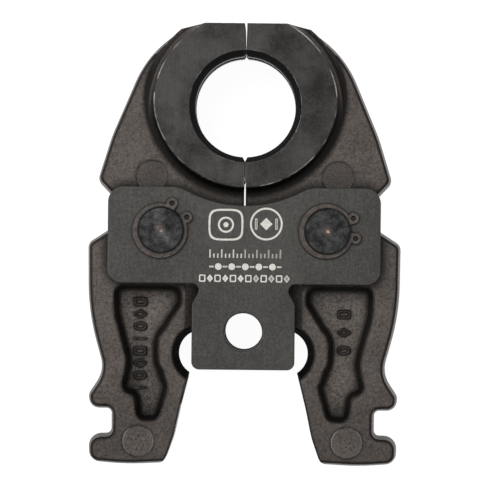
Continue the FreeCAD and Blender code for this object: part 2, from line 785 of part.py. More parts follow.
for item in doc.Objects:
    if "Invalid" in item.State or "Error" in item.State:
        raise RuntimeError("%s did not build" % item.Name)
for piece in pieces:
    if piece.Shape.isNull() or not piece.Shape.isValid() or len(piece.Shape.Solids) != 1:
        raise RuntimeError("%s is not one valid solid" % piece.Label)

os.makedirs("parts", exist_ok=True)
for piece in pieces:
    piece.Shape.exportStep("parts/%s.step" % piece.Label)
    box = piece.Shape.BoundBox
    print("%-28s %9.1f mm3  x %.2f %.2f  y %.2f %.2f  z %.2f %.2f" % (
        piece.Label, piece.Shape.Volume, box.XMin, box.XMax, box.YMin, box.YMax, box.ZMin, box.ZMax))
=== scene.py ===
import math
import bmesh
import bpy
import numpy as np
from mathutils import Matrix, Vector


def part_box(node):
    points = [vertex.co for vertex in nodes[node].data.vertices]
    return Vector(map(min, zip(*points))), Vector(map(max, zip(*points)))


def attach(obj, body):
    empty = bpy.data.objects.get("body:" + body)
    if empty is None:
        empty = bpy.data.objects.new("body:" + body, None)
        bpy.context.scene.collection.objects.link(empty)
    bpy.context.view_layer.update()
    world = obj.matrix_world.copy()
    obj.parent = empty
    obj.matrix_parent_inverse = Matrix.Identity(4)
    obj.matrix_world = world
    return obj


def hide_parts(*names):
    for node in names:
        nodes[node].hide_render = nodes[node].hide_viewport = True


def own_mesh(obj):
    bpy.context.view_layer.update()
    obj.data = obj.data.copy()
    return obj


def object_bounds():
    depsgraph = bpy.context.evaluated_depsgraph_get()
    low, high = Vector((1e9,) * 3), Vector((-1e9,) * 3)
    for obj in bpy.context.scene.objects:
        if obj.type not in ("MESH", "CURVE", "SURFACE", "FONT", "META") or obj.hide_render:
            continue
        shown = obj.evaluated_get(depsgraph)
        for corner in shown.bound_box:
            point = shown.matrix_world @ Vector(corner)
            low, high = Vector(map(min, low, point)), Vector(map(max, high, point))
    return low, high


# Press jaw for pipe fittings, lying on its back with the front plate up.
# Everything is in metres, in the frame of the CAD model: Z along the pins, Y towards the head.

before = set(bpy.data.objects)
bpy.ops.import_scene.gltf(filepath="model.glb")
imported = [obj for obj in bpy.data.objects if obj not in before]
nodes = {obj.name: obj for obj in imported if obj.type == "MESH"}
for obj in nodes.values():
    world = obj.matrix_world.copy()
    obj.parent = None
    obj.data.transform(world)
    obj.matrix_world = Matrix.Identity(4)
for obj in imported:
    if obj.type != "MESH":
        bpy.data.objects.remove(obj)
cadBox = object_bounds()
mm = 0.001
sides = ("left", "right")
print("frame loaded with", len(nodes), "nodes")


def boxOf(node):
    low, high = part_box(node)
    return np.array(low), np.array(high)


# Levels and places that the pieces share, read from the frame.
plateGap = 0.1 * mm
plateLow, plateHigh = boxOf("front_side_plate")
plateFace = plateHigh[2]
webFace = plateLow[2] - plateGap
pinBoxes = {side: boxOf(side + "_pivot_pin") for side in sides}
contourCentre = (0.0, 86.8 * mm)
floorLevel = cadBox[0].z


# Camera: the photograph is taken from straight above, with a long lens.
cameraSettings = {
    "place": (13.8 * mm, 27.2 * mm, 1206.5 * mm),
    "target": (0.39 * mm, 33.48 * mm, 16.5 * mm),  # what the middle of the picture shows
    "roll": 0.58,  # degrees
    "lens": 227.85,
    "sensor": 36.0,
    "clip": (0.05, 20.0),
}


def makeCamera(settings):
    lens = bpy.data.cameras.new("camera")
    lens.lens = settings["lens"]
    lens.sensor_width = settings["sensor"]
    lens.clip_start, lens.clip_end = settings["clip"]
    camera = bpy.data.objects.new("camera", lens)
    place = Vector(settings["place"])
    ahead = (Vector(settings["target"]) - place).normalized()
    roll = math.radians(settings["roll"])
    right = ahead.cross(Vector((-math.sin(roll), math.cos(roll), 0.0))).normalized()
    turned = Matrix((right, right.cross(ahead), -ahead)).transposed().to_4x4()
    camera.matrix_world = Matrix.Translation(place) @ turned
    bpy.context.scene.collection.objects.link(camera)
    bpy.context.scene.camera = camera


makeCamera(cameraSettings)
print("camera set")


# Small helpers for node trees. A noise is given as its scale, detail and roughness, and a range as the
# two levels between which a mask goes from 0 to 1.
treeSettings = {
    "samples": 8,
    "streakNoise": (4.0, 2.0, 0.5),
    "cornerRange": (0.95, 0.60),  # share of open sky
    "edgeRange": (0.995, 0.85),   # cosine between the rounded and the true normal
}


class Tree:
    def __init__(self, name):
        self.material = bpy.data.materials.new(name)
        self.material.use_nodes = True
        self.nodes = self.material.node_tree.nodes
        self.links = self.material.node_tree.links
        self.shader = self.nodes["Principled BSDF"]
        self.coordinates = self.add("ShaderNodeTexCoord")
        self.place = self.coordinates.outputs["Object"]

    # A setting is an attribute of the node or, where it has none of that name, an input.
    def add(self, kind, **settings):
        node = self.nodes.new(kind)
        for key, setting in settings.items():
            if hasattr(node, key):
                setattr(node, key, setting)
            else:
                node.inputs[key].default_value = setting
        return node

    def join(self, output, socket):
        self.links.new(output, socket)

    def noise(self, scale, detail, roughness, source=None):
        node = self.add("ShaderNodeTexNoise", Scale=scale, Detail=detail, Roughness=roughness)
        self.join(source or self.place, node.inputs["Vector"])
        return node.outputs["Fac"]

    def maths(self, operation, first, second=0.0, third=0.0):
        node = self.add("ShaderNodeMath", operation=operation)
        for socket, term in zip(node.inputs, (first, second, third)):
            if isinstance(term, (int, float)):
                socket.default_value = term
            else:
                self.join(term, socket)
        return node.outputs[0]

    def spread(self, source, low, high, toLow=0.0, toHigh=1.0):
        node = self.add("ShaderNodeMapRange")
        self.join(source, node.inputs["Value"])
        for key, term in (("From Min", low), ("From Max", high), ("To Min", toLow), ("To Max", toHigh)):
            node.inputs[key].default_value = term
        return node.outputs["Result"]

    def blend(self, share, first, second):
        node = self.add("ShaderNodeMix", data_type="RGBA")
        for key, term in (("Factor", share), ("A", first), ("B", second)):
            sockets = [s for s in node.inputs if s.name == key and s.enabled]
            if isinstance(term, tuple):
                sockets[0].default_value = (*term, 1.0)
            else:
                self.join(term, sockets[0])
        return [s for s in node.outputs if s.enabled][0]

    # Lays a second colour over the first, by the mask times the share.
    def cover(self, colour, over, mask, share):
        return self.blend(self.maths("MULTIPLY", mask, share), colour, over)

    def bump(self, height, strength, depth, normal=None):
        node = self.add("ShaderNodeBump", Strength=strength, Distance=depth)
        self.join(height, node.inputs["Height"])
        if normal:
            self.join(normal, node.inputs["Normal"])
        return node.outputs["Normal"]

    # One coordinate of a vector, or of the place on the object where none is given.
    def part(self, axis, source=None):
        node = self.add("ShaderNodeSeparateXYZ")
        self.join(source or self.place, node.inputs["Vector"])
        return node.outputs[axis]

    # Noise drawn out along one direction, for brushed and ground faces.
    def streaks(self, turn, stretch):
        lay = self.add("ShaderNodeMapping")
        self.join(self.place, lay.inputs["Vector"])
        lay.inputs["Rotation"].default_value = (0.0, 0.0, turn)
        lay.inputs["Scale"].default_value = stretch
        return self.noise(*treeSettings["streakNoise"], lay.outputs["Vector"])

    # Distance from the axis along Z that passes through x = 0 and the given y.
    def fromAxis(self, y):
        upward = self.maths("SUBTRACT", self.part("Y"), y)
        across = self.maths("MULTIPLY", self.part("X"), self.part("X"))
        return self.maths("SQRT", self.maths("MULTIPLY_ADD", upward, upward, across))

    def rounded(self, radius):
        node = self.add("ShaderNodeBevel", samples=treeSettings["samples"])
        node.inputs["Radius"].default_value = radius
        return node.outputs["Normal"]

    # Mask that is 1 on slopes, such as coves and rounded rims, and 0 on flat and upright faces. Each of
    # the two is given as the part of the normal along Z where it begins or ends, the smaller one first.
    def slopes(self, radius, upright, flat):
        rise = self.maths("ABSOLUTE", self.part("Z", self.rounded(radius)))
        leaning = self.spread(rise, upright[0], upright[1])
        return self.maths("MULTIPLY", leaning, self.spread(rise, flat[1], flat[0]))

    # Mask that is 1 in corners, where it lays painted shade.
    def corners(self, reach):
        hidden = self.add("ShaderNodeAmbientOcclusion", samples=treeSettings["samples"])
        hidden.inputs["Distance"].default_value = reach
        return self.spread(hidden.outputs["AO"], *treeSettings["cornerRange"])

    # Paler steel on edges, from wear and from a painted highlight, and the normal that is rounded over each
    # edge.
    def wornAndHighlitEdges(self, colour, look):
        soft, wearAndHighlight = self.rounded(look["edge"]), look["wearAndHighlight"]
        true = self.add("ShaderNodeNewGeometry")
        dot = self.add("ShaderNodeVectorMath", operation="DOT_PRODUCT")
        self.join(soft, dot.inputs[0])
        self.join(true.outputs["Normal"], dot.inputs[1])
        edge = self.spread(dot.outputs["Value"], *treeSettings["edgeRange"])
        wearAndHighlightMask = self.maths("MULTIPLY", edge, self.spread(self.noise(*wearAndHighlight["noise"]), *wearAndHighlight["range"]))
        return self.cover(colour, look["wornAndHighlit"], wearAndHighlightMask, wearAndHighlight["share"]), soft

    # Joins each output to the shader's socket of that name, or sets the number there.
    def finish(self, ends):
        for key, term in ends.items():
            if isinstance(term, (int, float)):
                self.shader.inputs[key].default_value = term
            else:
                self.join(term, self.shader.inputs[key])
        return self.material


# Forged steel: fine grain from the scale, brown-grey, paler on edges from wear and a painted highlight,
# with a ground flash line. Painted shade lies black on slopes and in corners, and a painted shadow in the
# cove round the head, but not on the upper part of the head's own side. A bump is given as its strength and
# depth.
forgedLook = {
    "dark": (0.034, 0.029, 0.026),
    "pale": (0.124, 0.106, 0.095),
    "pits": (0.018, 0.015, 0.013),
    # near-black tone of the painted shade and shadow, and of the darker foot of the arms
    "scale": (0.005, 0.0045, 0.004),
    "wornAndHighlit": (0.30, 0.28, 0.26),
    "flash": (0.13, 0.12, 0.11),
    # pale tone of the painted highlight on faces that look sideways
    "flank": (0.42, 0.41, 0.40),
    "roughness": (0.42, 0.62),
    "metal": 0.85,
    "grain": (1500.0, 5.0, 0.65),
    "blotch": (70.0, 3.0, 0.5),
    "specks": (3300.0, 2.0, 0.5),
    "lumps": (900.0, 3.0, 0.6),
    "mottleShares": {"blotch": 0.2, "grain": 0.5, "specks": 0.35, "lumps": 0.35},
    "mottle": (0.56, 0.86),
    "grainRange": (0.3, 0.7),
    "flashLine": {"noise": (220.0, 4.0, 0.55), "wander": 0.5 * mm, "range": (1.3 * mm, 1.0 * mm),
                  "share": 0.7},
    "pitting": {"scale": 675.0, "range": (0.24, 0.05), "share": 0.6},
    "rounding": 1.7 * mm,
    "upright": (0.42, 0.62),
    "flat": (0.975, 0.999),
    "slopeShare": 0.9,
    "corner": 5.0 * mm,
    "cornerShare": 0.8,
    "headCornerShare": 0.4,
    "headSide": (36.9 * mm, 37.7 * mm),
    "sideFoot": (94.0 * mm, 80.0 * mm),
    "cove": {"centre": 91.2 * mm, "wander": 0.8 * mm, "range": (41.0 * mm, 39.2 * mm),
             "reach": (41.0 * mm, 39.6 * mm), "heights": (120.0 * mm, 100.0 * mm), "shares": (0.2, 0.95)},
    "toe": {"heights": (-16.0 * mm, -44.0 * mm), "share": 0.24},
    "flankLean": (0.40, 0.60),
    "flankShare": 0.0,
    "edge": 0.5 * mm,
    "wearAndHighlight": {"noise": (300.0, 4.0, 0.55), "range": (0.45, 0.65), "share": 0.3},
    "lumpBump": (0.7, 0.16 * mm),
    "grainBump": (0.8, 0.08 * mm),
    "pitBump": (0.5, -0.05 * mm),
}


def forgedSteel(name, look):
    tree = Tree(name)
    noises = {key: tree.noise(*look[key]) for key in look["mottleShares"]}
    mottle = 0.0
    for key, share in look["mottleShares"].items():
        mottle = tree.maths("MULTIPLY_ADD", noises[key], share, mottle)
    colour = tree.blend(tree.spread(mottle, *look["mottle"]), look["dark"], look["pale"])

    flash = look["flashLine"]
    height = tree.maths("ABSOLUTE", tree.part("Z"))
    height = tree.maths("MULTIPLY_ADD", tree.noise(*flash["noise"]), flash["wander"], height)
    colour = tree.cover(colour, look["flash"], tree.spread(height, *flash["range"]), flash["share"])
    pits = tree.add("ShaderNodeTexVoronoi", Scale=look["pitting"]["scale"])
    tree.join(tree.place, pits.inputs["Vector"])
    pitted = tree.spread(pits.outputs["Distance"], *look["pitting"]["range"])
    colour = tree.cover(colour, look["pits"], pitted, look["pitting"]["share"])

    fromHead = tree.fromAxis(contourCentre[1])
    away = tree.maths("MAXIMUM", tree.spread(fromHead, *look["headSide"]),
                      tree.spread(tree.part("Y"), *look["sideFoot"]))
    # Painted shade on slopes, away from the head's side.
    if look["slopeShare"]:
        paintedSlopeShade = tree.maths("MULTIPLY", tree.slopes(look["rounding"], look["upright"], look["flat"]), away)
        colour = tree.cover(colour, look["scale"], paintedSlopeShade, look["slopeShare"])
    # Painted shade in corners, less of it near the head.
    kept = tree.spread(away, 0.0, 1.0, look["cornerShare"] * look["headCornerShare"], look["cornerShare"])
    colour = tree.cover(colour, look["scale"], tree.corners(look["corner"]), kept)
    # Painted shadow in the cove round the head, stronger lower down, but not on the upper part of the
    # head's own side.
    cove = look["cove"]
    out = tree.maths("MULTIPLY_ADD", noises["lumps"], cove["wander"], tree.fromAxis(cove["centre"]))
    paintedCoveShadow = tree.maths("MULTIPLY", tree.spread(out, *cove["range"]),
                       tree.spread(tree.part("Y"), *cove["heights"], *cove["shares"]))
    paintedCoveShadow = tree.maths("MULTIPLY", paintedCoveShadow, tree.spread(fromHead, *cove["reach"]))
    colour = tree.cover(colour, look["scale"], paintedCoveShadow, away)
    # Darker towards the second of the toe's two heights: the foot of the arms, or the top for the discs.
    toeDarkening = tree.spread(tree.part("Y"), *look["toe"]["heights"], 0.0, look["toe"]["share"])
    colour = tree.blend(toeDarkening, colour, look["scale"])

    # Painted highlight on faces that look sideways.
    if look["flankShare"]:
        aside = tree.maths("ABSOLUTE", tree.part("X", tree.coordinates.outputs["Normal"]))
        flank = tree.spread(aside, *look["flankLean"], 0.0, look["flankShare"])
        colour = tree.blend(flank, colour, look["flank"])
    colour, soft = tree.wornAndHighlitEdges(colour, look)
    normal = tree.bump(noises["lumps"], *look["lumpBump"], soft)
    normal = tree.bump(noises["grain"], *look["grainBump"], normal)
    normal = tree.bump(pitted, *look["pitBump"], normal)
    rough = tree.spread(noises["grain"], *look["grainRange"], *look["roughness"])
    return tree.finish({"Base Color": colour, "Roughness": rough, "Metallic": look["metal"],
                        "Normal": normal})


# The same steel on the ejector marks, inner slopes and crown, which shine as the open faces do: without the
# painted slope shade, with little painted corner shade and with a painted highlight on faces that look
# sideways.
# And in the pockets, where the scale is coarse, and painted shade reaches further down the walls and out
# from corners.
discLook = dict(
    forgedLook, dark=(0.036, 0.031, 0.028), pale=(0.119, 0.102, 0.092), slopeShare=0.0, cornerShare=0.1,
    edge=0.12 * mm, flankShare=0.6, wearAndHighlight=dict(forgedLook["wearAndHighlight"], share=0.8),
    toe={"heights": (50.0 * mm, 56.0 * mm), "share": 0.22})
pocketLook = dict(
    forgedLook, pale=(0.150, 0.130, 0.116), mottle=(0.60, 0.80), slopeShare=0.8, upright=(0.13, 0.30),
    corner=7.0 * mm, lumpBump=(0.7, 0.34 * mm))


# Machined steel, blackened: smooth, with faint cutter marks and bright edges from wear and a painted
# highlight.
machinedLook = {
    "dark": (0.0170, 0.0162, 0.0155),
    "pale": (0.054, 0.0505, 0.0480),
    "scale": (0.010, 0.010, 0.010),
    "wornAndHighlit": (0.50, 0.48, 0.46),
    "roughness": (0.34, 0.50),
    "metal": 0.85,
    "blotch": (60.0, 5.0, 0.65),
    "specks": (1200.0, 3.0, 0.55),
    "blotchShare": 0.8,
    "speckShare": 0.25,
    "range": (0.40, 0.63),
    "blotchRange": (0.3, 0.7),
    "streaks": {"turn": 0.12, "stretch": (420.0, 26.0, 26.0), "range": (0.45, 0.75), "share": 0.2},
    "edge": 0.3 * mm,
    "wearAndHighlight": {"noise": (130.0, 6.0, 0.75), "range": (0.50, 0.60), "share": 0.95},
    "cutterRings": {"scale": 55.556, "distortion": 0.4},
    "ringBump": (0.12, 0.01 * mm),
    "speckBump": (0.10, 0.02 * mm),
}


def machinedSteel(name, look):
    tree = Tree(name)
    blotch, specks = tree.noise(*look["blotch"]), tree.noise(*look["specks"])
    mixed = tree.maths("MULTIPLY_ADD", specks, look["speckShare"],
                       tree.maths("MULTIPLY", blotch, look["blotchShare"]))
    colour = tree.blend(tree.spread(mixed, *look["range"]), look["dark"], look["pale"])
    streaks = look["streaks"]
    ground = tree.spread(tree.streaks(streaks["turn"], streaks["stretch"]), *streaks["range"])
    colour = tree.cover(colour, look["scale"], ground, streaks["share"])
    colour, soft = tree.wornAndHighlitEdges(colour, look)
    rings = tree.add("ShaderNodeTexWave", wave_type="RINGS", rings_direction="Z",
                     Scale=look["cutterRings"]["scale"], Distortion=look["cutterRings"]["distortion"])
    middle = tree.add("ShaderNodeMapping")
    tree.join(tree.place, middle.inputs["Vector"])
    middle.inputs["Location"].default_value = (0.0, -contourCentre[1], 0.0)
    tree.join(middle.outputs["Vector"], rings.inputs["Vector"])
    normal = tree.bump(rings.outputs["Fac"], *look["ringBump"], soft)
    normal = tree.bump(specks, *look["speckBump"], normal)
    rough = tree.spread(blotch, *look["blotchRange"], *look["roughness"])
    return tree.finish({"Base Color": colour, "Roughness": rough, "Metallic": look["metal"],
                        "Normal": normal})


# Turned and milled walls that look down into shade: black oxide, matt, a little grease, and a near-black
# colour that is partly painted shade.
wallLook = {
    "dark": (0.002, 0.002, 0.002),
    "pale": (0.009, 0.0085, 0.008),
    "wornAndHighlit": (0.34, 0.31, 0.29),
    "roughness": 0.80,
    "specular": 0.05,
    "grain": (420.0, 5.0, 0.65),
    "range": (0.4, 0.7),
    "edge": 0.3 * mm,
    "wearAndHighlight": {"noise": (150.0, 5.0, 0.7), "range": (0.40, 0.55), "share": 0.8},
    "bump": (0.3, 0.04 * mm),
}


def blackWall(name, look):
    tree = Tree(name)
    grain = tree.noise(*look["grain"])
    colour = tree.blend(tree.spread(grain, *look["range"]), look["dark"], look["pale"])
    colour, soft = tree.wornAndHighlitEdges(colour, look)
    normal = tree.bump(grain, *look["bump"], soft)
    return tree.finish({"Base Color": colour, "Roughness": look["roughness"],
                        "Specular IOR Level": look["specular"], "Normal": normal})


# Side plates: smooth blackened sheet with fine scratches, and painted shade at the feet of rings and pins.
plateLook = {
    "dark": (0.036, 0.0345, 0.0315),
    "pale": (0.070, 0.0675, 0.062),
    "deep": (0.026, 0.026, 0.025),
    "scratch": (0.095, 0.095, 0.09),
    "rust": (0.060, 0.046, 0.036),
    "paintedFootShade": (0.008, 0.007, 0.006),
    "wornAndHighlit": (0.16, 0.155, 0.15),
    "roughness": (0.42, 0.55),
    "metal": 0.7,
    "cloud": (28.0, 5.0, 0.6),
    "specks": (1300.0, 3.0, 0.7),
    "cloudShare": 0.4,
    "speckShare": 0.6,
    "range": (0.42, 0.59),
    "cloudRange": (0.3, 0.7),
    "brushed": {"turn": 0.0, "stretch": (430.0, 30.0, 30.0), "range": (0.35, 0.75), "share": 0.45},
    "scratches": {"lays": ((0.5, (260.0, 9.0, 9.0)), (-0.9, (11.0, 300.0, 11.0))),
                  "range": (0.70, 0.76), "share": 0.35},
    "spots": {"noise": (190.0, 3.0, 0.6), "range": (0.66, 0.74), "share": 0.4},
    "paintedFootShadeReach": 1.1 * mm,
    "paintedFootShadeShare": 0.9,
    "edge": 0.3 * mm,
    "wearAndHighlight": {"noise": (240.0, 4.0, 0.55), "range": (0.4, 0.7), "share": 0.5},
    "bump": (0.12, 0.02 * mm),
}


def blackenedPlate(name, look):
    tree = Tree(name)
    cloud, specks = tree.noise(*look["cloud"]), tree.noise(*look["specks"])
    mixed = tree.maths("MULTIPLY_ADD", specks, look["speckShare"],
                       tree.maths("MULTIPLY", cloud, look["cloudShare"]))
    colour = tree.blend(tree.spread(mixed, *look["range"]), look["dark"], look["pale"])
    brushed, scratches, spots = look["brushed"], look["scratches"], look["spots"]
    lines = tree.spread(tree.streaks(brushed["turn"], brushed["stretch"]), *brushed["range"])
    colour = tree.cover(colour, look["deep"], lines, brushed["share"])
    for turn, stretch in scratches["lays"]:
        lines = tree.spread(tree.streaks(turn, stretch), *scratches["range"])
        colour = tree.cover(colour, look["scratch"], lines, scratches["share"])
    rusty = tree.spread(tree.noise(*spots["noise"]), *spots["range"])
    colour = tree.cover(colour, look["rust"], rusty, spots["share"])
    # Painted shade round the feet of rings and pins.
    colour = tree.cover(colour, look["paintedFootShade"], tree.corners(look["paintedFootShadeReach"]), look["paintedFootShadeShare"])
    colour, soft = tree.wornAndHighlitEdges(colour, look)
    normal = tree.bump(specks, *look["bump"], soft)
    rough = tree.spread(cloud, *look["cloudRange"], *look["roughness"])
    return tree.finish({"Base Color": colour, "Roughness": rough, "Metallic": look["metal"],
                        "Normal": normal})


# Turned pin ends: oiled dark steel with turning rings whose tone is partly a painted sheen, a painted
# highlight round the middle with a painted glint at the centre, and painted shade in the gap at the rim.
# The radii of each zone run from where it is gone to where it is full.
pinLook = {
    "dark": (0.004, 0.0045, 0.005),
    "pale": (0.080, 0.079, 0.080),
    # centre: painted highlight round the middle; glint: painted glint at the centre; rim: painted shade by
    # the ring
    "centre": (0.110, 0.086, 0.075),
    "glint": (0.42, 0.30, 0.24),
    "rim": (0.003, 0.003, 0.003),
    "roughness": 0.30,
    "metal": 0.75,
    "ringNoise": (1.0, 3.0, 0.6),
    "ringPitch": 0.21 * mm,
    "cloud": (260.0, 5.0, 0.7),
    "mixedShare": 1.05,
    "range": (0.47, 0.66),
    "rings": {"left": 0.55, "right": 0.50},
    "centreHighlightZone": (2.6 * mm, 0.4 * mm),
    "centreHighlightShare": 0.85,
    "glintZone": (0.75 * mm, 0.35 * mm),
    "glintShare": {"left": 0.12, "right": 0.80},
    "rimShadeZone": (8.25 * mm, 8.45 * mm),
    "rimShadeShare": 0.9,
    "ringBump": {"left": 0.40, "right": 0.20},
    "bumpDepth": 0.02 * mm,
}


def turnedPinSteel(side, look, centre):
    tree = Tree(side + "PinSteel")
    middle = tree.add("ShaderNodeMapping")
    tree.join(tree.place, middle.inputs["Vector"])
    middle.inputs["Location"].default_value = (-centre[0], -centre[1], 0.0)
    middle.inputs["Scale"].default_value = (1.0, 1.0, 0.0)
    length = tree.add("ShaderNodeVectorMath", operation="LENGTH")
    tree.join(middle.outputs["Vector"], length.inputs[0])
    radius = length.outputs["Value"]
    along = tree.add("ShaderNodeCombineXYZ")  # a noise read along the radius makes rings
    tree.join(tree.maths("MULTIPLY", radius, 1.0 / look["ringPitch"]), along.inputs["X"])
    rings = tree.noise(*look["ringNoise"], along.outputs["Vector"])
    # Tone of the turning rings, partly a painted sheen.
    share = look["rings"][side]
    mixed = tree.maths("MULTIPLY_ADD", rings, share,
                       tree.maths("MULTIPLY", tree.noise(*look["cloud"]), look["mixedShare"] - share))
    colour = tree.blend(tree.spread(mixed, *look["range"]), look["dark"], look["pale"])
    # Painted highlight round the middle and a painted glint at the centre.
    colour = tree.cover(colour, look["centre"], tree.spread(radius, *look["centreHighlightZone"]),
                        look["centreHighlightShare"])
    colour = tree.cover(colour, look["glint"], tree.spread(radius, *look["glintZone"]),
                        look["glintShare"][side])
    # Painted shade in the gap between the pin and its ring.
    colour = tree.cover(colour, look["rim"], tree.spread(radius, *look["rimShadeZone"]), look["rimShadeShare"])
    normal = tree.bump(rings, look["ringBump"][side], look["bumpDepth"])
    return tree.finish({"Base Color": colour, "Roughness": look["roughness"], "Metallic": look["metal"],
                        "Normal": normal})


# Plain steel for the retaining rings, the spring, the plate marks and the head's rim, pale where worn and
# where a highlight is painted.
plainLooks = {
    "ringSteel": {"dark": (0.030, 0.024, 0.020), "pale": (0.086, 0.068, 0.059), "grain": (700.0, 4.0, 0.6),
                  "range": (0.35, 0.65), "roughness": 0.50, "metal": 0.35, "edge": 0.3 * mm,
                  "bump": (0.3, 0.03 * mm)},
    "springSteel": {"dark": (0.20, 0.20, 0.21), "pale": (0.36, 0.36, 0.37), "grain": (1500.0, 4.0, 0.6),
                    "range": (0.35, 0.65), "roughness": 0.35, "metal": 0.9, "edge": 0.1 * mm,
                    "bump": (0.1, 0.03 * mm)},
    "laserMark": {"dark": (0.66, 0.62, 0.57), "pale": (0.80, 0.77, 0.72), "grain": (1100.0, 4.0, 0.6),
                  "range": (0.35, 0.65), "roughness": 0.75, "metal": 0.0, "edge": 0.05 * mm,
                  "bump": (0.2, 0.03 * mm)},
    "wornAndHighlitRim": {"dark": (0.030, 0.028, 0.026), "pale": (0.46, 0.43, 0.40), "grain": (110.0, 4.0, 0.6),
                "range": (0.46, 0.66), "roughness": 0.38, "metal": 0.8, "edge": 0.1 * mm,
                "bump": (0.1, 0.03 * mm)},
}


def plainSteel(name, look):
    tree = Tree(name)
    grain = tree.noise(*look["grain"])
    colour = tree.blend(tree.spread(grain, *look["range"]), look["dark"], look["pale"])
    normal = tree.bump(grain, *look["bump"], tree.rounded(look["edge"]))
    return tree.finish({"Base Color": colour, "Roughness": look["roughness"], "Metallic": look["metal"],
                        "Normal": normal})


forged = forgedSteel("forgedSteel", forgedLook)
discs = forgedSteel("forgedDiscs", discLook)
pocketed = forgedSteel("forgedPocket", pocketLook)
machined = machinedSteel("machinedSteel", machinedLook)
wall = blackWall("blackWall", wallLook)
plate = blackenedPlate("blackenedPlate", plateLook)
plain = {name: plainSteel(name, look) for name, look in plainLooks.items()}
print("materials made")


# Surfaces. A grid of points becomes a closed, smooth mesh with sharp edges kept sharp.
mergeWithin = 1e-7     # points of a grid that meet
mergeCadWithin = 1e-6  # points of neighbouring CAD faces
fullTurn = 2.0 * np.pi


def gridQuads(rows, columns, wrapRows=False, wrapColumns=False):
    row = np.arange(rows if wrapRows else rows - 1)[:, None]
    column = np.arange(columns if wrapColumns else columns - 1)[None, :]
    nextRow, nextColumn = (row + 1) % rows, (column + 1) % columns
    corners = (row * columns + column, row * columns + nextColumn,
               nextRow * columns + nextColumn, nextRow * columns + column)
    return np.stack(np.broadcast_arrays(*corners), axis=-1).reshape(-1, 4)


def finishMesh(mesh, sharpAngle, within, outward=True, flatten=0.0):
    work = bmesh.new()
    work.from_mesh(mesh)
    bmesh.ops.remove_doubles(work, verts=work.verts, dist=within)
    if outward:
        bmesh.ops.recalc_face_normals(work, faces=work.faces)
    if flatten:
        bmesh.ops.dissolve_limit(work, angle_limit=math.radians(flatten), verts=work.verts,
                                 edges=work.edges)
    work.to_mesh(mesh)
    work.free()
    mesh.shade_smooth()
    mesh.set_sharp_from_angle(angle=math.radians(sharpAngle))
    mesh.update()


def addPiece(name, points, faces, material, body, sharpAngle=30.0):
    mesh = bpy.data.meshes.new(name)
    mesh.from_pydata(np.asarray(points).reshape(-1, 3), [], faces)
    mesh.materials.append(material)
    finishMesh(mesh, sharpAngle, mergeWithin)
    piece = bpy.data.objects.new(name, mesh)
    bpy.context.scene.collection.objects.link(piece)
    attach(piece, body)
    return piece


# Levers: the CAD form, merged and smoothed, with machined and forged faces told apart. Places are
# (x, y) on the right lever, and a lean is a part of the unit normal.
leverSettings = {
    "sharpAngle": 24.0,       # degrees
    "flatten": 0.2,           # degrees between triangles of one flat face
    "normalWeight": 90,
    "uprightLean": 0.5,
    "inwardLean": -0.3,
    "headEdge": 0.6 * mm,
    "boreRadius": 21.55 * mm,
    "landRadius": 19.5 * mm,
    "splitReach": 0.55 * mm,
    "rampReach": 31.0 * mm,
    "rampTop": -14.5 * mm,
    "rampBottom": -50.5 * mm,
    "scallop": (16.1 * mm, -8.5 * mm),
    "scallopInner": 8.0 * mm,
    "scallopOuter": 13.0 * mm,
    "rimRadius": 30.0 * mm,
    "rimLean": 0.9,
    "crownSlope": (38.2 * mm, 107.0 * mm),
    "discs": ((36.0 * mm, 59.8 * mm), (40.2 * mm, -42.5 * mm)),
    "discReach": 6.4 * mm,
    "discHeight": 0.5 * mm,
    "skin": 0.05 * mm,
    "innerSlope": (22.5 * mm, 22.0 * mm),
    "pocketLow": (22.8 * mm, -36.0 * mm),
    "pocketHigh": (52.0 * mm, 19.0 * mm),
    "pocketLean": 0.3,
    "waistShift": 3.4 * mm,
    "waistTop": (9.5 * mm, 2.5 * mm),
    "waistFoot": (-20.2 * mm, -14.5 * mm),
    "waistReach": (23.3 * mm, 40.2 * mm),
}


# Steel of each kind of face. Machined are the head's end, the split, the lands and the ramp, a wall
# stands in the press contour and the scallop, and a disc is an ejector mark or a sloped face that
# shines as the open ones do.
leverSteels = {"forged": forged, "machined": machined, "wall": wall, "rim": plain["wornAndHighlitRim"],
               "disc": discs, "pocket": pocketed}
kindNumbers = {kind: number for number, kind in enumerate(leverSteels)}


